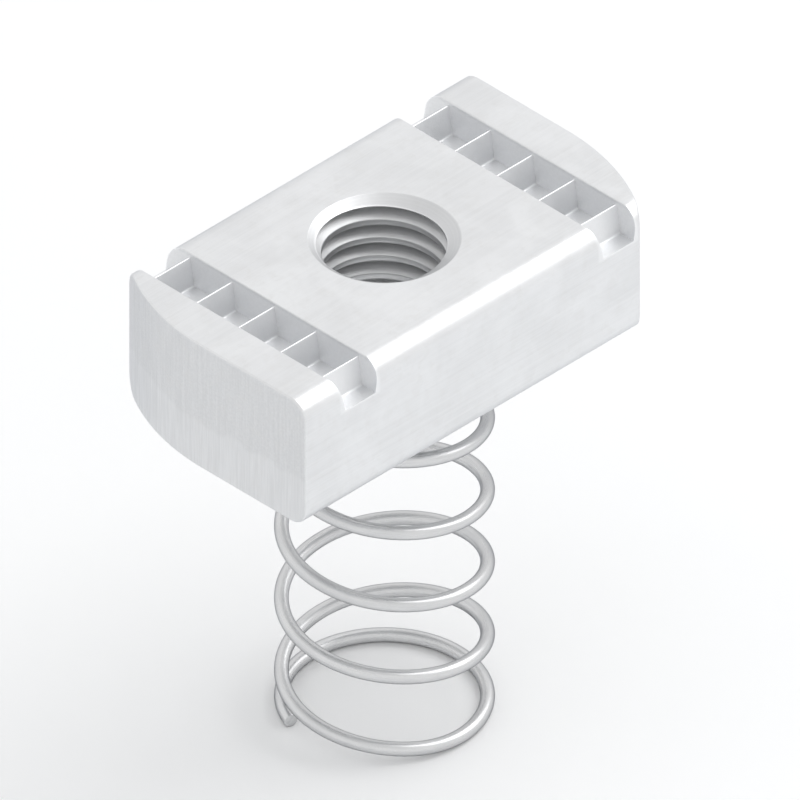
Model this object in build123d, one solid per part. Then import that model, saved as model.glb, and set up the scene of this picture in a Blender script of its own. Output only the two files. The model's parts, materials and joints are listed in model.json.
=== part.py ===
from build123d import *
import os
from math import asin, cos, degrees, radians, sin, sqrt, tan

# Strut spring nut, in millimetres. +X runs along the bar, +Y across it and +Z up, out of the channel.
# The origin is on the thread's axis at the foot of the spring, where it stands on the channel's back.

# Nut: a rolled bar cut to length.
nut_length = 35.0
nut_width = 20.0
nut_height = 10.2
rolled_edge_radius = 1.5  # of the four edges along the bar

# Two toothed grooves across the top, for the channel's lips.
lip_spacing = 24.6  # from the middle of one groove to the other
groove_width = 3.65  # at the top face
groove_depth = 2.2
groove_wall_angle = 10.0  # degrees from upright
tooth_pitch = 4.0  # along the groove
tooth_angle = 36.0  # degrees between the flanks
tooth_crest_width = 0.14
tooth_crest_drop = 0.3  # from the top face down to the crests

# Hole for an M10 x 1.5 thread, as drilled for the tap.
tap_drill_diameter = 8.5
countersink_diameter = 10.4
countersink_angle = 120.0  # degrees, at both ends

# Spring: one round wire wound left-handed, with a flat turn at each end.
wire_diameter = 1.0
spring_reach = 28.4  # from the foot to the nut's underside
coil_pitch = 6.0
flat_turns = 0.65  # of each end that lies flat
ramp_turns = 0.12  # from flat to full pitch
foot_tip_angle = 160.0  # degrees from +X to the wire's end at the foot

# Seat of the spring's top turn: a ring groove round the hole, staked over the wire.
seat_rim = 1.2  # of nut left between the countersink and the seat
seat_depth = 0.95
seat_side_clearance = 0.05
seat_top_clearance = 0.03
stake_count = 3
stake_spacing = 85.0  # degrees
stake_width = 24.0  # degrees of rim that one stake bends in
stake_height = 0.28
stake_clearance = 0.03  # round the wire
punch_diameter = 1.4
punch_depth = 0.4
punch_wall = 0.3  # of nut left between the seat and a punch mark

nut_top = spring_reach + nut_height
countersink_depth = (countersink_diameter - tap_drill_diameter) / 2 / tan(radians(countersink_angle / 2))
seat_inner_radius = countersink_diameter / 2 + seat_rim
coil_radius = seat_inner_radius + seat_side_clearance + wire_diameter / 2
seat_outer_radius = coil_radius + wire_diameter / 2 + seat_side_clearance

foot_turn_z = wire_diameter / 2
top_turn_z = spring_reach + seat_depth - seat_top_clearance - wire_diameter / 2
pitch_turns = (top_turn_z - foot_turn_z) / coil_pitch - ramp_turns
total_turns = 2 * (flat_turns + ramp_turns) + pitch_turns
top_tip_angle = foot_tip_angle - 360 * total_turns


def on_circle(radius, angle, z=0.0):
    """Point at this many degrees from +X on a level circle round the thread's axis."""
    return Vector(radius * cos(radians(angle)), radius * sin(radians(angle)), z)


def bar():
    """The rolled bar. The two opposite corners that lead when the nut is turned follow its circle."""
    section = RectangleRounded(nut_width, nut_height, rolled_edge_radius)
    stock = extrude(Plane.YZ * section, nut_length / 2, both=True)
    turn_radius = nut_length / 2
    side_y = nut_width / 2
    side_x = sqrt(turn_radius**2 - side_y**2)
    middle = on_circle(turn_radius, degrees(asin(side_y / turn_radius)) / 2)
    outline = [
        Line((-turn_radius, -side_y), (side_x, -side_y)),
        ThreePointArc((side_x, -side_y), (middle.X, -middle.Y), (turn_radius, 0)),
        Line((turn_radius, 0), (turn_radius, side_y)),
        Line((turn_radius, side_y), (-side_x, side_y)),
        ThreePointArc((-side_x, side_y), (-middle.X, middle.Y), (-turn_radius, 0)),
        Line((-turn_radius, 0), (-turn_radius, -side_y)),
    ]
    plan = extrude(make_face(outline), nut_height / 2, both=True)
    return Pos(0, 0, spring_reach + nut_height / 2) * (stock & plan)


def tooth(groove_length):
    """One ridge across a groove: an upright wedge, its crest along X, its foot in the groove's floor."""
    rise = groove_depth - tooth_crest_drop
    half_crest = tooth_crest_width / 2
    half_foot = half_crest + rise * tan(radians(tooth_angle / 2))
    profile = Polygon(
        (-half_foot, 0), (half_foot, 0), (half_crest, rise), (-half_crest, rise), align=None
    )
    return extrude(Plane.YZ * profile, groove_length / 2, both=True)


def lip_groove():
    """What is cut away for one lip, with its teeth left standing. Its floor is at z = 0."""
    half_top = groove_width / 2
    slope = tan(radians(groove_wall_angle))
    half_floor = half_top - groove_depth * slope
    over = nut_height - groove_depth  # the cutter runs on above the bar
    half_over = half_top + over * slope
    height = groove_depth + over
    profile = Polygon(
        (-half_floor, 0), (half_floor, 0), (half_over, height), (-half_over, height), align=None
    )
    cutter = extrude(Plane.XZ * profile, nut_width, both=True)
    tooth_count = int(nut_width / tooth_pitch)
    first_y = -(tooth_count - 1) / 2 * tooth_pitch
    for i in range(tooth_count):
        cutter -= Pos(0, first_y + i * tooth_pitch, 0) * tooth(2 * half_over)
    return cutter


def bolt_hole():
    """The drilled hole with a countersink at each end."""
    hole_radius = tap_drill_diameter / 2
    mouth_radius = countersink_diameter / 2
    outline = Polyline(
        (0, spring_reach),
        (mouth_radius, spring_reach),
        (hole_radius, spring_reach + countersink_depth),
        (hole_radius, nut_top - countersink_depth),
        (mouth_radius, nut_top),
        (0, nut_top),
        close=True,
    )
    return revolve(Plane.XZ * make_face(outline), Axis.Z)


def seat():
    """The ring groove for the spring's top turn, without the metal that is staked over the wire."""
    outline = Polyline(
        (seat_inner_radius, spring_reach),
        (seat_outer_radius, spring_reach),
        (seat_outer_radius, spring_reach + seat_depth),
        (seat_inner_radius, spring_reach + seat_depth),
        close=True,
    )
    groove = revolve(Plane.XZ * make_face(outline), Axis.Z)
    for angle in stake_angles():
        groove -= Rot(0, 0, angle) * stake()
    return groove


def stake_angles():
    """Where the seat is staked, in degrees from +X, spread over the flat part of the top turn."""
    middle = top_tip_angle + 360 * flat_turns / 2
    return [middle + (i - (stake_count - 1) / 2) * stake_spacing for i in range(stake_count)]


def stake():
    """Rim metal bent in under the wire, centred on +X."""
    outline = Polyline(
        (coil_radius, spring_reach),
        (seat_outer_radius, spring_reach),
        (seat_outer_radius, spring_reach + stake_height),
        (coil_radius, spring_reach + stake_height),
        close=True,
    )
    lip = revolve(Plane.XZ * make_face(outline), Axis.Z, stake_width)
    wire_room = Pos(0, 0, top_turn_z) * Torus(coil_radius, wire_diameter / 2 + stake_clearance)
    return Rot(0, 0, -stake_width / 2) * lip - wire_room


def punch_mark():
    """Dent of the punch that bends in a stake, on +X."""
    radius = punch_diameter / 2
    dent = Cylinder(radius, punch_depth, align=(Align.CENTER, Align.CENTER, Align.MIN))
    return Pos(seat_outer_radius + punch_wall + radius, 0, spring_reach) * dent


def nut():
    block = bar() - bolt_hole() - seat()
    for side in (-1, 1):
        block -= Pos(side * lip_spacing / 2, 0, nut_top - groove_depth) * lip_groove()
    for angle in stake_angles():
        block -= Rot(0, 0, angle) * punch_mark()
    return block


def coil_height(turns):
    """Height of the wire's middle after this many turns from its end at the foot."""
    from_end = min(turns, total_turns - turns)
    if from_end < flat_turns:
        rise = 0
    elif from_end < flat_turns + ramp_turns:
        rise = coil_pitch * (from_end - flat_turns) ** 2 / (2 * ramp_turns)
    else:
        rise = coil_pitch * (from_end - flat_turns - ramp_turns / 2)
    return foot_turn_z + rise if turns < total_turns / 2 else top_turn_z - rise


def coil_point(turns):
    return on_circle(coil_radius, foot_tip_angle - 360 * turns, coil_height(turns))


def coil_direction(turns):
    """Direction of the wire, towards the nut."""
    step = 1e-4
    return (coil_point(turns + step) - coil_point(turns - step)).normalized()


def ramp(first_turn):
    """Stretch of wire that joins a flat turn to the helix."""
    steps = 6
    points = [coil_point(first_turn + ramp_turns * i / steps) for i in range(steps + 1)]
    ends = (coil_direction(first_turn), coil_direction(first_turn + ramp_turns))
    return Spline(points, tangents=ends)


def flat_turn(z, first_angle):
    return CenterArc((0, 0, z), coil_radius, first_angle, -360 * flat_turns)


def spring():
    helix_start = flat_turns + ramp_turns
    helix = Helix(
        coil_pitch,
        coil_pitch * pitch_turns,
        coil_radius,
        center=(0, 0, coil_height(helix_start)),
        lefthand=True,
    )
    path = Wire(
        [
            flat_turn(foot_turn_z, foot_tip_angle),
            ramp(flat_turns),
            Rot(0, 0, foot_tip_angle - 360 * helix_start) * helix,
            ramp(helix_start + pitch_turns),
            flat_turn(top_turn_z, top_tip_angle + 360 * flat_turns),
        ]
    )
    section = Plane(path @ 0, z_dir=path % 0) * Circle(wire_diameter / 2)
    return sweep(section, path=path, is_frenet=True)


os.makedirs("parts", exist_ok=True)
export_step(nut(), "parts/nut.step")
export_step(spring(), "parts/spring.step")
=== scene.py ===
import json
from math import asin, atan2, cos, degrees, pi, radians, sin, sqrt, tan

import bmesh
import bpy
from mathutils import Matrix, Vector


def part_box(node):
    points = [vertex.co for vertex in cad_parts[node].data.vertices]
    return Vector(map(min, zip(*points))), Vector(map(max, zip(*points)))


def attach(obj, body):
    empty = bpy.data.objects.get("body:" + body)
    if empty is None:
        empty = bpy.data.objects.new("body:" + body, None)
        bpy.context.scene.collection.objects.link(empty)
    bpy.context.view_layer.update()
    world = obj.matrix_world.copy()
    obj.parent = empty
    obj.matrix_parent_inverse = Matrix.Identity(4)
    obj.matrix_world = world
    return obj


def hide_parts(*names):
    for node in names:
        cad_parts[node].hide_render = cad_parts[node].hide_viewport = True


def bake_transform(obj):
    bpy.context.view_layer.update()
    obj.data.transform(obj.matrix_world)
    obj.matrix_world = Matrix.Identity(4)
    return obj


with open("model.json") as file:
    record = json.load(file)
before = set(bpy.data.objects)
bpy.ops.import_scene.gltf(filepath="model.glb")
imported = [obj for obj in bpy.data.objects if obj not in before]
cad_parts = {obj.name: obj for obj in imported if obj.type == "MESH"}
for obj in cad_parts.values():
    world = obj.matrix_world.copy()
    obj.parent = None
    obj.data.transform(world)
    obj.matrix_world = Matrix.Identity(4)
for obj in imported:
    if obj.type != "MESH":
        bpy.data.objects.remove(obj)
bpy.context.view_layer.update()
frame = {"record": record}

# Strut spring nut, in metres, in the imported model's frame: +X along the bar, +Z up out of the channel.
MM = 0.001
mounts = {mount["name"]: mount for mount in frame["record"]["mounts"]}
nut_low, nut_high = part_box("nut")
spring_low, spring_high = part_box("spring")

# Nut: bar, turned-in corners and the rounding of its edges.
underside = nut_low.z
nut_top = nut_high.z
turn_radius = nut_high.x
half_width = nut_high.y
half_height = (nut_top - underside) / 2
rolled_edge_radius = 1.5 * MM
sheared_edge_radius = 0.16 * MM

# Lip grooves and their teeth.
groove_x = mounts["lip_groove_high_x"]["pos_m"][0]
groove_width = 3.65 * MM
groove_depth = 2.2 * MM
groove_wall_angle = radians(10)
groove_edge_radius = 0.14 * MM
tooth_pitch = 4.0 * MM
tooth_half_angle = radians(18)
tooth_crest_width = 0.14 * MM
tooth_crest_drop = 0.3 * MM
tooth_root_radius = 0.18 * MM

# Metric thread, right-handed, in the tapped hole.
minor_radius = mounts["bolt_thread"]["dims"]["r_mm"] * MM
major_radius = 5.02 * MM
thread_pitch = 1.5 * MM
thread_flank_angle = radians(30)
thread_root_width = thread_pitch / 8
thread_crest_radius = 0.12 * MM
countersink_radius = 5.2 * MM
countersink_depth = (nut_top - underside - mounts["bolt_thread"]["dims"]["length_mm"] * MM) / 2

# Spring wire and its seat in the underside.
wire_radius = 0.5 * MM
coil_radius = spring_high.x - wire_radius
coil_pitch = 6.0 * MM
flat_turns = 0.65
ramp_turns = 0.12
foot_tip_angle = radians(160)
foot_turn_z = spring_low.z + wire_radius
top_turn_z = spring_high.z - wire_radius
pitch_turns = (top_turn_z - foot_turn_z) / coil_pitch - ramp_turns
total_turns = 2 * (flat_turns + ramp_turns) + pitch_turns
seat_side_clearance = 0.05 * MM
seat_depth = 0.95 * MM
stake_count = 3
stake_spacing = radians(85)
stake_width = radians(24)
stake_height = 0.28 * MM
stake_clearance = 0.03 * MM
punch_radius = 0.7 * MM
punch_depth = 0.4 * MM
punch_nose_radius = 0.6 * punch_depth
punch_wall = 0.3 * MM
seat_rim = 1.2 * MM
seat_inner_radius = countersink_radius + seat_rim
seat_outer_radius = seat_inner_radius + 2 * (seat_side_clearance + wire_radius)
stake_fade = 0.25  # of a stake's width, at each side

# Surface left by the tools.
break_radius = 0.09 * MM  # of edges left by drilling and turning
wire_end_radius = 0.07 * MM  # of the wire's cut ends
burnished_share = 0.36  # of an end face's height, below the torn part that the shear leaves
torn_line_wander = 2.4  # millimetres between the lowest and highest that the torn part may start

# Fineness of the meshes, in steps or facets.
edge_steps = 6
rolled_edge_steps = 14
flat_steps = 16
thread_crest_steps = 4
mouth_rim_steps = 4
tap_facets = 112
mouth_facets = 120
mouth_turn = radians(1.3)  # keeps the countersink's facets off the tap's
seat_facets = 180
stake_facets = 24
punch_facets = 40
wire_end_steps = 4
wire_rings_a_turn = 96
wire_facets = 28
nut_crisp_angle = radians(22)
wire_crisp_angle = radians(50)
LIFT = 0.0006 * MM  # keeps a cutter's tangent edges off the face that they meet
WELD_DISTANCE = 0.0001 * MM
FLAT_FACE_WEIGHT = 80


# --- meshes ---------------------------------------------------------------------------------------


def weld(mesh):
    """Join points that coincide, drop edges that bear no face and turn the faces outwards."""
    tidy = bmesh.new()
    tidy.from_mesh(mesh)
    bmesh.ops.remove_doubles(tidy, verts=tidy.verts, dist=WELD_DISTANCE)
    bmesh.ops.delete(tidy, geom=[edge for edge in tidy.edges if edge.is_wire], context="EDGES")
    bmesh.ops.recalc_face_normals(tidy, faces=tidy.faces)
    tidy.to_mesh(mesh)
    tidy.free()


def mesh_object(name, points, faces):
    """A mesh with its faces turned outwards."""
    mesh = bpy.data.meshes.new(name)
    mesh.from_pydata([tuple(p) for p in points], [], faces)
    weld(mesh)
    obj = bpy.data.objects.new(name, mesh)
    bpy.context.scene.collection.objects.link(obj)
    return obj


def lathe(name, profile_at, steps, start=0.0, sweep=2 * pi):
    """A closed profile turned round Z, all the way or as a sector.

    profile_at takes a share of the sweep and gives the profile's (radius, z) points there.
    """
    full = sweep > 2 * pi - 1e-6
    rings = steps if full else steps + 1
    count = len(profile_at(0))
    points, faces = [], []
    for i in range(rings):
        angle = start + sweep * i / steps
        points += [Vector((r * cos(angle), r * sin(angle), z)) for r, z in profile_at(i / steps)]
    for i in range(steps):
        a, b = i * count, ((i + 1) % rings) * count
        for j in range(count):
            k = (j + 1) % count
            faces.append((a + j, a + k, b + k, b + j))
    if not full:
        faces.append(tuple(range(count)))
        faces.append(tuple(range((rings - 1) * count, rings * count)))
    return mesh_object(name, points, faces)


def prism(name, outline, to_point, half_length):
    """An outline pushed both ways along the third axis. to_point(u, v, w) places a point."""
    count = len(outline)
    points = [to_point(u, v, w) for w in (-half_length, half_length) for u, v in outline]
    faces = [(i, (i + 1) % count, count + (i + 1) % count, count + i) for i in range(count)]
    faces += [tuple(range(count)), tuple(range(count, 2 * count))]
    return mesh_object(name, points, faces)


def combine(body, tools, operation):
    """Cut the tools from the body, or join them to it, and delete them."""
    for tool in tools:
        modifier = body.modifiers.new("combine", "BOOLEAN")
        modifier.operation = operation
        modifier.solver = "EXACT"
        modifier.object = tool
    bpy.context.view_layer.update()
    result = bpy.data.meshes.new_from_object(body.evaluated_get(bpy.context.evaluated_depsgraph_get()))
    weld(result)
    body.modifiers.clear()
    body.data = result
    for tool in tools:
        bpy.data.objects.remove(tool)


def arc(centre_u, centre_v, radius, first, last, steps):
    """Points on a circle between two angles, in degrees."""
    angles = [radians(first + (last - first) * i / steps) for i in range(steps + 1)]
    return [(centre_u + radius * cos(a), centre_v + radius * sin(a)) for a in angles]


# --- nut ------------------------------------------------------------------------------------------


def end_x(y):
    """The bar's +X end at this y: square on one half, on the turning circle on the other."""
    return turn_radius if y >= 0 else sqrt(turn_radius**2 - y**2)


def bar_section(inset):
    """Upper half of the bar's section this far inside its skin, as (y, height over the middle)."""
    radius = rolled_edge_radius - inset
    side, half = half_width - inset, half_height - inset
    edge = arc(side - radius, half - radius, radius, 0, 90, rolled_edge_steps)
    flat = [((side - radius) * (1 - i / flat_steps), half) for i in range(1, flat_steps)]
    near = edge + flat
    return near + [(0, half)] + [(-y, z) for y, z in reversed(near)]


def bar():
    """The bar with its shaped ends, their edges rounded as the shear leaves them."""
    middle_z = (underside + nut_top) / 2
    rounding = []
    for i in range(edge_steps + 1):
        turn = pi / 2 * i / edge_steps
        rounding.append((sheared_edge_radius * (1 - cos(turn)), sheared_edge_radius * (1 - sin(turn))))
    stations = [(-1, inset, back) for inset, back in reversed(rounding)]
    stations += [(1, inset, back) for inset, back in rounding]
    points, faces = [], []
    for side, inset, back in stations:
        upper = bar_section(inset)
        section = upper + [(y, -z) for y, z in reversed(upper)]
        points += [(side * (end_x(side * y) - back), y, middle_z + z) for y, z in section]
    ring = len(section)
    for i in range(len(stations) - 1):
        for j in range(ring):
            k = (j + 1) % ring
            faces.append((i * ring + j, i * ring + k, (i + 1) * ring + k, (i + 1) * ring + j))
    for first in (0, (len(stations) - 1) * ring):
        for j in range(len(upper) - 1):
            top, bottom = first + j, first + ring - 1 - j
            faces.append((top, top + 1, bottom - 1, bottom))
    return mesh_object("nut_body", points, faces)


def groove_cutter(side):
    """What one lip groove takes away, with its long edges eased."""
    slope = tan(groove_wall_angle)
    floor_z = nut_top - groove_depth
    half_floor = groove_width / 2 - groove_depth * slope
    centre_u = groove_width / 2 + groove_edge_radius * (1 / cos(groove_wall_angle) - slope)
    edge = arc(
        centre_u,
        nut_top - groove_edge_radius + LIFT,
        groove_edge_radius,
        180 - degrees(groove_wall_angle),
        90,
        edge_steps,
    )
    right = [(half_floor, floor_z)] + edge + [(centre_u, nut_top + groove_depth)]
    outline = right + [(-u, v) for u, v in reversed(right)]
    return prism("groove_cutter", outline, lambda u, v, w: (side * groove_x + u, w, v), half_width * 1.5)


def tooth(side, y):
    """One ridge across a groove, with a rounded crest and roots."""
    floor_z = nut_top - groove_depth
    crest_z = nut_top - tooth_crest_drop
    lean = degrees(tooth_half_angle)
    half_crest = tooth_crest_width / 2
    half_foot = half_crest + (crest_z - floor_z) * tan(tooth_half_angle)
    root_u = half_foot + tooth_root_radius * tan((pi / 2 - tooth_half_angle) / 2)
    root_v = floor_z + tooth_root_radius - LIFT
    root = arc(root_u, root_v, tooth_root_radius, 270, 180 + lean, edge_steps)
    crest = arc(0, crest_z - half_crest, half_crest, lean, 90, edge_steps)
    right = [(root_u, floor_z - tooth_root_radius)] + root + crest
    outline = right + [(-u, v) for u, v in reversed(right[:-1])]
    half_length = groove_width / 2 + tooth_crest_drop / 3
    return prism("tooth", outline, lambda u, v, w: (side * groove_x + w, y + u, v), half_length)


def thread_profile():
    """One pitch of the tapped wall, as (share of the pitch, radius)."""
    depth = major_radius - minor_radius
    flank = depth * tan(thread_flank_angle)
    root = thread_root_width / 2
    crest = root + flank
    rising = [(root, major_radius), (root + flank / 2, (major_radius + minor_radius) / 2)]
    turn = pi / 2 - thread_flank_angle
    rounding_starts = crest + thread_crest_radius * tan(turn / 2)
    for i in range(thread_crest_steps, -1, -1):
        bend = turn * i / thread_crest_steps
        along = rounding_starts - thread_crest_radius * sin(bend)
        rising.append((along, minor_radius + thread_crest_radius * (1 - cos(bend))))
    falling = [(thread_pitch - along, radius) for along, radius in reversed(rising)]
    return [(along / thread_pitch, radius) for along, radius in rising + falling]


def tap():
    """The threaded rod that leaves the hole. Its rows of faces follow the thread."""
    profile = thread_profile()
    per_pitch = len(profile)
    first_z = underside - 3 * thread_pitch
    rows = per_pitch * (int((nut_top - underside) / thread_pitch) + 6)
    points, faces = [], []
    for i in range(tap_facets):
        angle = 2 * pi * i / tap_facets
        for j in range(rows + 1):
            share, radius = profile[j % per_pitch]
            z = first_z + thread_pitch * (j // per_pitch + share + i / tap_facets)
            points.append((radius * cos(angle), radius * sin(angle), z))
    stride = rows + 1
    last = (tap_facets - 1) * stride
    for i in range(tap_facets - 1):
        for j in range(rows):
            a = i * stride + j
            faces.append((a, a + 1, a + stride + 1, a + stride))
    for j in range(rows - per_pitch):
        faces.append((last + j, last + j + 1, j + per_pitch + 1, j + per_pitch))
    low_rim = [i * stride for i in range(tap_facets - 1, 0, -1)] + list(range(per_pitch + 1))
    high_rim = [i * stride + rows for i in range(tap_facets - 1)]
    high_rim += [last + j for j in range(rows, rows - per_pitch - 1, -1)]
    low_hub_z = first_z - thread_pitch
    high_hub_z = first_z + rows / per_pitch * thread_pitch + 2 * thread_pitch
    for rim, z in ((low_rim, low_hub_z), (high_rim, high_hub_z)):
        hub = len(points)
        points.append((0, 0, z))
        faces += [(rim[n], rim[(n + 1) % len(rim)], hub) for n in range(len(rim))]
    return mesh_object("tap", points, faces)


def mouth(face_z, out):
    """The countersink at one end of the hole, with its rim eased. out is the way out of the metal."""
    wall = atan2(countersink_depth, countersink_radius - minor_radius)
    centre_r = countersink_radius + break_radius * tan(wall / 2)
    rim = arc(centre_r, LIFT - break_radius, break_radius, 90 + degrees(wall), 90, mouth_rim_steps)
    tip = minor_radius / 2
    tip_v = -(countersink_radius - tip) * tan(wall)
    profile = [(0, tip_v), (tip, tip_v)] + rim + [(centre_r, countersink_depth), (0, countersink_depth)]
    outline = [(r, face_z + out * v) for r, v in profile]
    return lathe("mouth", lambda share: outline, mouth_facets, mouth_turn)


def seat():
    """The ring groove for the spring's top turn."""
    corner = 2 * break_radius
    inner_rim, outer_rim = seat_inner_radius - break_radius, seat_outer_radius + break_radius
    rim_v = LIFT - break_radius
    profile = arc(seat_inner_radius + corner, corner - seat_depth, corner, 180, 270, edge_steps)
    profile += arc(seat_outer_radius - corner, corner - seat_depth, corner, -90, 0, edge_steps)
    profile += arc(outer_rim, rim_v, break_radius, 180, 90, edge_steps)
    profile += [(outer_rim, seat_depth), (inner_rim, seat_depth)]
    profile += arc(inner_rim, rim_v, break_radius, 90, 0, edge_steps)
    return lathe("seat", lambda share: [(r, underside - v) for r, v in profile], seat_facets)


def stake(angle):
    """Rim metal bent in under the wire, fading out at both sides."""
    room = wire_radius + stake_clearance
    wire_v = underside - top_turn_z
    lip = 0.01 * MM
    first = degrees(asin((-wire_v - stake_height) / room))
    last = degrees(asin((-wire_v - lip) / room))
    reach = arc(coil_radius, wire_v, room, first, last, edge_steps)
    skin = seat_outer_radius + lip
    root = seat_outer_radius + 3 * break_radius

    def profile(share):
        strength = min(1.0, share / stake_fade, (1 - share) / stake_fade)
        strength = strength * strength * (3 - 2 * strength)
        bent = [(skin + (r - skin) * strength, underside - v) for r, v in reach]
        return bent + [(root, underside + lip), (root, underside + stake_height)]

    return lathe("stake", profile, stake_facets, angle - stake_width / 2, stake_width)


def punch_mark(angle):
    """Round-nosed dent of the punch that bent in a stake."""
    nose, rim = punch_nose_radius, punch_radius + break_radius
    profile = [(0, -punch_depth)]
    profile += arc(punch_radius - nose, nose - punch_depth, nose, -90, 0, edge_steps)
    profile += arc(rim, LIFT - break_radius, break_radius, 180, 90, edge_steps)
    profile += [(rim, punch_depth), (0, punch_depth)]
    dent = lathe("punch_mark", lambda share: [(r, underside - v) for r, v in profile], punch_facets)
    centre = seat_outer_radius + punch_wall + punch_radius
    dent.data.transform(Matrix.Translation((centre * cos(angle), centre * sin(angle), 0)))
    return dent


def shade(obj, angle):
    """Smooth shading that keeps flat faces flat and edges sharper than this angle crisp."""
    obj.data.shade_smooth()
    obj.data.set_sharp_from_angle(angle=angle)
    flat = obj.modifiers.new("flat_faces", "WEIGHTED_NORMAL")
    flat.keep_sharp = True
    flat.weight = FLAT_FACE_WEIGHT


def build_nut():
    """The bar with its grooves, teeth, seat and stakes. The thread is cut last, into the finished hole."""
    body = bar()
    top_tip_angle = foot_tip_angle - 2 * pi * total_turns
    middle = top_tip_angle + 2 * pi * flat_turns / 2
    stake_angles = [middle + (i - (stake_count - 1) / 2) * stake_spacing for i in range(stake_count)]
    cutters = [groove_cutter(-1), groove_cutter(1), mouth(nut_top, 1), mouth(underside, -1), seat()]
    cutters += [punch_mark(angle) for angle in stake_angles]
    combine(body, cutters, "DIFFERENCE")
    teeth_a_side = round(2 * half_width / tooth_pitch)
    rows = [(i - (teeth_a_side - 1) / 2) * tooth_pitch for i in range(teeth_a_side)]
    additions = [tooth(side, y) for side in (-1, 1) for y in rows]
    additions += [stake(angle) for angle in stake_angles]
    combine(body, additions, "UNION")
    combine(body, [tap()], "DIFFERENCE")
    shade(body, nut_crisp_angle)
    return body


# --- spring ---------------------------------------------------------------------------------------


def coil_height(turns):
    """Height of the wire's middle after this many turns from its end at the foot."""
    from_end = min(turns, total_turns - turns)
    if from_end < flat_turns:
        rise = 0
    elif from_end < flat_turns + ramp_turns:
        rise = coil_pitch * (from_end - flat_turns) ** 2 / (2 * ramp_turns)
    else:
        rise = coil_pitch * (from_end - flat_turns - ramp_turns / 2)
    return foot_turn_z + rise if turns < total_turns / 2 else top_turn_z - rise


def coil_point(turns):
    """The wire's middle after this many turns from its end at the foot."""
    angle = foot_tip_angle - 2 * pi * turns
    return Vector((coil_radius * cos(angle), coil_radius * sin(angle), coil_height(turns)))


def build_spring():
    """The wire as a tube of rings, and the share of the nut's travel for each of its points."""
    around = wire_facets
    length_of_turn = 2 * pi * coil_radius
    end_turns = wire_end_radius / length_of_turn
    sections = []  # of the rounded end, from the full wire outwards, as (turns before the tip, radius)
    for i in range(wire_end_steps):
        turn = pi / 2 * i / wire_end_steps
        back = wire_end_radius * (1 - sin(turn)) / length_of_turn
        sections.append((back, wire_radius - wire_end_radius * (1 - cos(turn))))
    stations = [i / wire_rings_a_turn for i in range(int(total_turns * wire_rings_a_turn))]
    rows = sections[::-1]
    rows += [(s, wire_radius) for s in stations if end_turns < s < total_turns - end_turns]
    rows += [(total_turns - back, radius) for back, radius in sections]
    points, faces, shares, places = [], [], [], []
    for turns, radius in rows:
        centre = coil_point(turns)
        further, nearer = min(turns + 1e-4, total_turns), max(turns - 1e-4, 0)
        ahead = (coil_point(further) - coil_point(nearer)).normalized()
        out = Vector((centre.x, centre.y, 0)).normalized()
        out = (out - ahead * out.dot(ahead)).normalized()
        side = ahead.cross(out)
        share = (centre.z - foot_turn_z) / (top_turn_z - foot_turn_z)
        for k in range(around):
            angle = 2 * pi * k / around
            points.append(centre + (out * cos(angle) + side * sin(angle)) * radius)
            shares.append(share)
            places.append((turns * length_of_turn / MM, cos(angle), sin(angle)))
    for i in range(len(rows) - 1):
        for k in range(around):
            n = (k + 1) % around
            faces.append((i * around + k, i * around + n, (i + 1) * around + n, (i + 1) * around + k))
    faces.append(tuple(reversed(range(around))))
    faces.append(tuple(range((len(rows) - 1) * around, len(rows) * around)))
    wire = mesh_object("spring_wire", points, faces)
    place = wire.data.attributes.new("along_wire", "FLOAT_VECTOR", "POINT")
    place.data.foreach_set("vector", [number for triple in places for number in triple])
    shade(wire, wire_crisp_angle)
    return wire, shares


# --- materials ------------------------------------------------------------------------------------


class Finish:
    """One procedural material, with a short call for each kind of node it uses."""

    def __init__(self, name):
        self.material = bpy.data.materials.new(name)
        self.material.use_nodes = True
        self.tree = self.material.node_tree
        self.shader = self.tree.nodes["Principled BSDF"]

    def node(self, kind, inputs, **settings):
        made = self.tree.nodes.new("ShaderNode" + kind)
        for key, value in settings.items():
            setattr(made, key, value)
        for socket, value in inputs.items():
            self.feed(made.inputs[socket], value)
        return made

    def feed(self, socket, value):
        if isinstance(value, bpy.types.NodeSocket):
            self.tree.links.new(value, socket)
        else:
            socket.default_value = value

    def math(self, operation, a, b=0.0, clamp=False):
        return self.node("Math", {0: a, 1: b}, operation=operation, use_clamp=clamp).outputs[0]

    def span(self, value, low, high, to_low=0.0, to_high=1.0):
        """value's stretch from low to high, eased, as to_low to to_high."""
        inputs = {0: value, 1: low, 2: high, 3: to_low, 4: to_high}
        return self.node("MapRange", inputs, interpolation_type="SMOOTHSTEP").outputs[0]

    def scaled(self, vector, factors):
        return self.node("VectorMath", {0: vector, 1: factors}, operation="MULTIPLY").outputs[0]

    def noise(self, vector, scale, detail, roughness, distortion=0.0):
        inputs = {"Vector": vector, "Scale": scale, "Detail": detail, "Roughness": roughness}
        inputs["Distortion"] = distortion
        return self.node("TexNoise", inputs).outputs[0]

    def mix(self, factor, a, b):
        return self.node("Mix", {0: factor, 6: a, 7: b}, data_type="RGBA").outputs[2]

    def blend_values(self, factor, a, b):
        return self.node("Mix", {0: factor, 2: a, 3: b}, data_type="FLOAT").outputs[0]

    def bump(self, height, distance, strength, normal=None):
        inputs = {"Height": height, "Distance": distance, "Strength": strength}
        if normal is not None:
            inputs["Normal"] = normal
        return self.node("Bump", inputs).outputs[0]


def grey(level, warmth=-0.008):
    """The colour of zinc at this level, which is a little cool unless it says otherwise."""
    return (level * (1 + warmth), level, level * (1 - 1.5 * warmth), 1.0)


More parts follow.
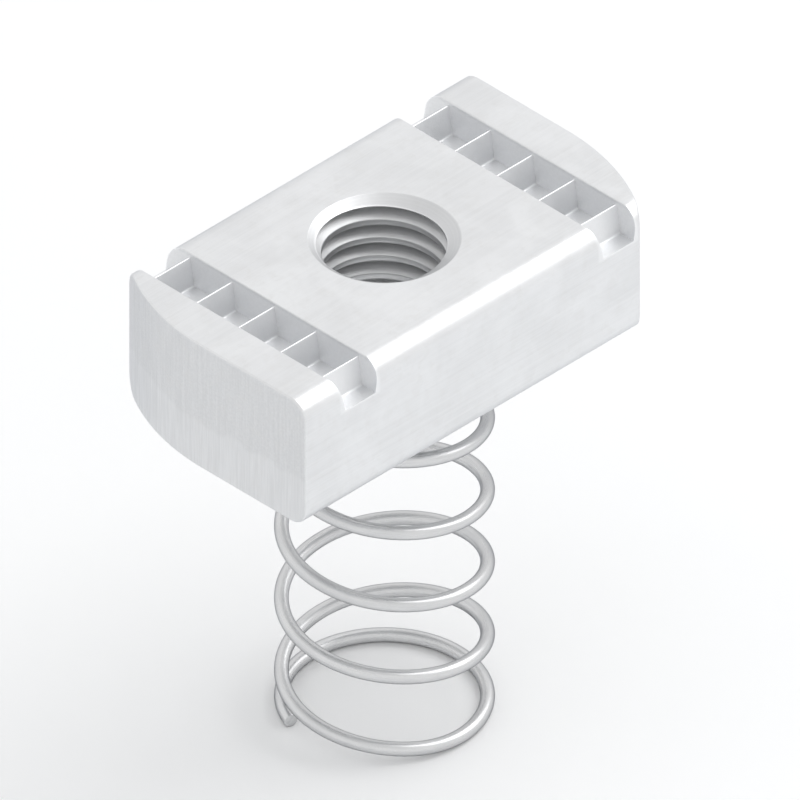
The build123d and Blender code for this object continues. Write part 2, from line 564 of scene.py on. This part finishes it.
def nut_finish():
    """Bright zinc over a rolled, sheared, pressed and tapped bar."""
    zinc = Finish("zinc_plated_steel")
    texture = zinc.node("TexCoord", {})
    place = zinc.scaled(texture.outputs["Object"], (1 / MM, 1 / MM, 1 / MM))  # in millimetres
    facing = zinc.node("SeparateXYZ", {0: texture.outputs["Normal"]})
    where = zinc.node("SeparateXYZ", {0: place})

    # Where each way of making the surface shows.
    end_face = zinc.span(zinc.math("ABSOLUTE", facing.outputs[0]), 0.7, 0.9)
    from_middle = zinc.math("ABSOLUTE", where.outputs[0])
    from_groove = zinc.math("ABSOLUTE", zinc.math("SUBTRACT", from_middle, groove_x / MM))
    in_groove = zinc.span(from_groove, groove_width / 2 / MM + 0.2, groove_width / 2 / MM - 0.1)
    below_top = zinc.span(where.outputs[2], nut_top / MM - 0.02, nut_top / MM - 0.35)
    floor_level = (nut_top - groove_depth) / MM
    above_floor = zinc.span(where.outputs[2], floor_level - 0.3, floor_level - 0.02)
    pressed = zinc.math("MULTIPLY", zinc.math("MULTIPLY", in_groove, below_top), above_floor)
    flat_xy = zinc.node("CombineXYZ", {0: where.outputs[0], 1: where.outputs[1], 2: 0.0})
    from_axis = zinc.node("VectorMath", {0: flat_xy.outputs[0]}, operation="LENGTH").outputs["Value"]
    tapped = zinc.span(from_axis, countersink_radius / MM + 0.05, countersink_radius / MM - 0.05)
    shear_wave = zinc.noise(zinc.scaled(place, (1.0, 0.55, 0.1)), 1.0, 4.0, 0.6)
    shear_line = zinc.math("ADD", where.outputs[2], zinc.math("MULTIPLY", shear_wave, torn_line_wander))
    burnish_end = (underside + burnished_share * (nut_top - underside)) / MM + torn_line_wander / 2
    fractured = zinc.math("MULTIPLY", end_face, zinc.span(shear_line, burnish_end, burnish_end + 0.5))

    # Fine lines: along the bar where it was rolled, upright where it was sheared,
    # round the hole where it was cut.
    rolled = zinc.noise(zinc.scaled(place, (0.05, 3.2, 3.2)), 1.0, 6.0, 0.62)
    rolled_fine = zinc.noise(zinc.scaled(place, (0.16, 13.0, 13.0)), 1.0, 4.0, 0.6)
    sheared = zinc.noise(zinc.scaled(place, (2.0, 4.4, 0.22)), 1.0, 6.0, 0.66, 0.25)
    cast = zinc.noise(place, 5.5, 5.0, 0.62)
    round_hole = zinc.node("CombineXYZ", {0: from_axis, 1: where.outputs[2], 2: 0.0})
    turned = zinc.noise(round_hole.outputs[0], 9.0, 4.0, 0.6)
    spangle = zinc.node("TexVoronoi", {"Vector": place, "Scale": 2.4, "Randomness": 1.0})
    grain = zinc.noise(place, 26.0, 3.0, 0.6)
    cloud = zinc.noise(place, 0.24, 4.0, 0.55, 0.6)
    patch = zinc.noise(place, 1.1, 4.0, 0.6, 0.4)

    torn = zinc.blend_values(zinc.math("MULTIPLY", fractured, 0.45), sheared, cast)
    lines = zinc.blend_values(end_face, zinc.blend_values(0.4, rolled, rolled_fine), torn)
    lines = zinc.blend_values(pressed, lines, cast)
    lines = zinc.blend_values(tapped, lines, turned)

    # Edges burnished in the plating barrel, and painted shade darkening the corners and recesses.
    rounded = zinc.node("Bevel", {"Radius": 0.28 * MM}, samples=6).outputs[0]
    geometry = zinc.node("NewGeometry", {})
    aligned = zinc.node("VectorMath", {0: rounded, 1: geometry.outputs["Normal"]}, operation="DOT_PRODUCT")
    edge = zinc.span(aligned.outputs["Value"], 0.995, 0.86)
    open_to_air = zinc.node("AmbientOcclusion", {"Distance": 0.9 * MM}, samples=6).outputs["AO"]
    painted_recess_shade = zinc.span(open_to_air, 0.7, 0.1)
    convex = zinc.math("MULTIPLY", edge, zinc.span(open_to_air, 0.45, 0.8))

    tone = zinc.mix(zinc.span(cloud, 0.3, 0.7), grey(0.75), grey(0.81))
    # Painted shade: end faces darker than the top and sides, standing in for the shaded floor that they
    # reflect.
    tone = zinc.mix(zinc.math("MULTIPLY", end_face, 0.6), tone, grey(0.67))
    tone = zinc.mix(zinc.math("MULTIPLY", fractured, 0.5), tone, grey(0.655))
    tone = zinc.mix(zinc.math("MULTIPLY", zinc.span(patch, 0.45, 0.75), 0.40), tone, grey(0.70, 0.004))
    tone = zinc.mix(zinc.math("MULTIPLY", zinc.span(lines, 0.35, 0.7), 0.34), tone, grey(0.88))
    # Painted light: the groove pits lighter, making up for the light that their walls keep out.
    tone = zinc.mix(zinc.math("MULTIPLY", pressed, 0.7), tone, grey(0.88))
    # Painted shade: the hole and countersink darker, toning down the lamp's highlight on them.
    tone = zinc.mix(zinc.math("MULTIPLY", tapped, 0.6), tone, grey(0.60))
    # Painted shade: the grooves, thread and corners darker where little light reaches them.
    tone = zinc.mix(zinc.math("MULTIPLY", painted_recess_shade, 0.42), tone, grey(0.40, 0.006))
    tone = zinc.mix(zinc.math("MULTIPLY", convex, 0.7), tone, grey(0.92))
    zinc.feed(zinc.shader.inputs["Base Color"], tone)

    rough = zinc.span(lines, 0.25, 0.75, 0.40, 0.28)
    rough = zinc.math("ADD", rough, zinc.span(cloud, 0.3, 0.7, 0.0, 0.05))
    rough = zinc.math("ADD", rough, zinc.math("MULTIPLY", pressed, 0.05))
    rough = zinc.math("ADD", rough, zinc.math("MULTIPLY", fractured, 0.06))
    rough = zinc.math("ADD", rough, zinc.math("MULTIPLY", tapped, 0.09))
    rough = zinc.math("SUBTRACT", rough, zinc.math("MULTIPLY", convex, 0.08), clamp=True)
    zinc.feed(zinc.shader.inputs["Roughness"], rough)

    relief = zinc.bump(spangle.outputs["Distance"], 0.002 * MM, 0.6)
    relief = zinc.bump(grain, 0.0022 * MM, 0.8, relief)
    relief = zinc.bump(lines, 0.010 * MM, 0.8, relief)
    relief = zinc.bump(patch, 0.03 * MM, 0.6, relief)
    zinc.feed(zinc.shader.inputs["Normal"], relief)
    zinc.shader.inputs["Metallic"].default_value = 1.0
    zinc.shader.inputs["Specular Tint"].default_value = (0.75, 0.76, 0.78, 1.0)
    return zinc.material


def wire_finish():
    """Drawn spring wire under thin bright zinc."""
    wire = Finish("zinc_plated_spring_wire")
    along = wire.node("Attribute", {}, attribute_name="along_wire").outputs["Vector"]
    drawn = wire.noise(wire.scaled(along, (0.05, 6.0, 6.0)), 1.0, 5.0, 0.6)
    drawn_fine = wire.noise(wire.scaled(along, (0.25, 22.0, 22.0)), 1.0, 3.0, 0.6)
    cloud = wire.noise(wire.scaled(along, (0.35, 1.0, 1.0)), 1.0, 4.0, 0.6)
    specks = wire.noise(wire.scaled(along, (4.0, 5.0, 5.0)), 1.0, 4.0, 0.65)
    lines = wire.blend_values(0.4, drawn, drawn_fine)
    tone = wire.mix(wire.span(cloud, 0.3, 0.7), grey(0.62), grey(0.69, -0.004))
    tone = wire.mix(wire.math("MULTIPLY", wire.span(lines, 0.38, 0.68), 0.35), tone, grey(0.78, -0.002))
    tone = wire.mix(wire.math("MULTIPLY", wire.span(specks, 0.58, 0.78), 0.3), tone, grey(0.50, 0.006))
    # Painted shade: the wire darker where it is hemmed in, beside the floor and the nut.
    open_to_air = wire.node("AmbientOcclusion", {"Distance": 0.6 * MM}, samples=6).outputs["AO"]
    tone = wire.mix(wire.span(open_to_air, 0.6, 0.1, 0.0, 0.5), tone, grey(0.5, 0.01))
    wire.feed(wire.shader.inputs["Base Color"], tone)
    rough = wire.span(lines, 0.3, 0.7, 0.36, 0.24)
    dulled = wire.span(specks, 0.5, 0.8, 0.0, 0.08)
    wire.feed(wire.shader.inputs["Roughness"], wire.math("ADD", rough, dulled))
    relief = wire.bump(specks, 0.004 * MM, 0.7)
    relief = wire.bump(lines, 0.006 * MM, 0.8, relief)
    wire.feed(wire.shader.inputs["Normal"], relief)
    wire.shader.inputs["Metallic"].default_value = 1.0
    wire.shader.inputs["Specular Tint"].default_value = (0.30, 0.31, 0.33, 1.0)
    return wire.material


# --- studio ---------------------------------------------------------------------------------------


def seen_ray(tree):
    """1 for rays that the camera, a gloss or a glass sends."""
    path = tree.nodes.new("ShaderNodeLightPath")
    total = None
    for name in ("Is Camera Ray", "Is Glossy Ray", "Is Transmission Ray"):
        if total is None:
            total = path.outputs[name]
            continue
        sum_node = tree.nodes.new("ShaderNodeMath")
        sum_node.operation = "MAXIMUM"
        tree.links.new(total, sum_node.inputs[0])
        tree.links.new(path.outputs[name], sum_node.inputs[1])
        total = sum_node.outputs[0]
    return total


def studio_world():
    """Even light from all round, with a white background that gloss sees darken overhead."""
    world = bpy.data.worlds.new("studio")
    world.use_nodes = True
    tree = world.node_tree
    tree.nodes.clear()
    light = tree.nodes.new("ShaderNodeBackground")
    light.inputs[0].default_value = (0.98, 0.99, 1.0, 1.0)
    light.inputs[1].default_value = 0.745
    seen = tree.nodes.new("ShaderNodeBackground")
    seen.inputs[0].default_value = (1.0, 1.0, 1.0, 1.0)
    coordinates = tree.nodes.new("ShaderNodeTexCoord")
    split = tree.nodes.new("ShaderNodeSeparateXYZ")
    overhead = tree.nodes.new("ShaderNodeMapRange")
    overhead.interpolation_type = "SMOOTHSTEP"
    for socket, value in ((1, 0.72), (2, 0.98), (3, 1.0), (4, 0.45)):
        overhead.inputs[socket].default_value = value
    tree.links.new(coordinates.outputs["Generated"], split.inputs[0])
    tree.links.new(split.outputs[2], overhead.inputs[0])
    tree.links.new(overhead.outputs[0], seen.inputs[1])
    mixer = tree.nodes.new("ShaderNodeMixShader")
    out = tree.nodes.new("ShaderNodeOutputWorld")
    tree.links.new(seen_ray(tree), mixer.inputs[0])
    tree.links.new(light.outputs[0], mixer.inputs[1])
    tree.links.new(seen.outputs[0], mixer.inputs[2])
    tree.links.new(mixer.outputs[0], out.inputs[0])
    bpy.context.scene.world = world


def studio_floor():
    """A plain pale floor that runs out of sight. It is clear from below, to show the object from there."""
    half, z = 1.5, spring_low.z
    corners = [(-half, -half, z), (half, -half, z), (half, half, z), (-half, half, z)]
    floor = mesh_object("floor", corners, [(0, 1, 2, 3)])
    paper = Finish("floor_paper")
    paper.shader.inputs["Base Color"].default_value = (0.95, 0.95, 0.95, 1.0)
    paper.shader.inputs["Roughness"].default_value = 0.9
    paper.shader.inputs["Specular IOR Level"].default_value = 0.1
    tree = paper.tree
    glow = paper.node("Emission", {"Color": (1.0, 1.0, 1.0, 1.0), "Strength": 0.04})
    lifted = paper.node("AddShader", {0: paper.shader.outputs[0], 1: glow.outputs[0]})
    sheet = paper.node("MixShader", {0: seen_ray(tree), 1: paper.shader.outputs[0], 2: lifted.outputs[0]})
    clear = paper.node("BsdfTransparent", {})
    behind = paper.node("NewGeometry", {}).outputs["Backfacing"]
    one_sided = paper.node("MixShader", {0: behind, 1: sheet.outputs[0], 2: clear.outputs[0]})
    tree.links.new(one_sided.outputs[0], tree.nodes["Material Output"].inputs["Surface"])
    floor.data.materials.append(paper.material)


def softbox(name, azimuth, elevation, distance, size, power):
    """A square lamp that faces the object. Azimuth is counted from -Y towards +X."""
    lamp = bpy.data.lights.new(name, "AREA")
    lamp.shape = "SQUARE"
    lamp.size = size
    lamp.energy = power
    obj = bpy.data.objects.new(name, lamp)
    a, e = radians(azimuth), radians(elevation)
    way = Vector((sin(a) * cos(e), -cos(a) * cos(e), sin(e)))
    middle = Vector((0, 0, nut_top / 2))
    obj.location = middle + way * distance
    obj.rotation_euler = way.to_track_quat("Z", "Y").to_euler()
    bpy.context.scene.collection.objects.link(obj)


def set_camera():
    """A camera at the photograph's angle, without perspective, as the drawing has none."""
    azimuth, elevation = radians(-45), radians(36)
    right_mm, down_mm = 1.044, 10.93  # of the picture's middle from the middle of the nut's top
    back = Vector((sin(azimuth) * cos(elevation), -cos(azimuth) * cos(elevation), sin(elevation)))
    right = Vector((cos(azimuth), sin(azimuth), 0))
    up = back.cross(right)
    target = Vector((0, 0, nut_top)) + right * right_mm * MM - up * down_mm * MM
    camera = bpy.data.cameras.new("camera")
    camera.type = "ORTHO"
    camera.ortho_scale = 53.9 * MM
    camera.clip_start = 0.01
    camera.clip_end = 10
    obj = bpy.data.objects.new("camera", camera)
    obj.location = target + back * 0.5
    obj.rotation_euler = back.to_track_quat("Z", "Y").to_euler()
    bpy.context.scene.collection.objects.link(obj)
    bpy.context.scene.camera = obj


set_camera()
studio_world()
studio_floor()
softbox("key", 71, 50, 0.6, 0.5, 1.1)
softbox("overhead", 0, 88, 0.8, 0.7, 0.8)
bpy.context.scene.view_settings.view_transform = "Standard"

nut = build_nut()
nut.data.materials.clear()
nut.data.materials.append(nut_finish())
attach(nut, "nut")
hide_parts("nut")

spring, travel_shares = build_spring()
spring.data.materials.append(wire_finish())
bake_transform(spring)
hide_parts("spring")
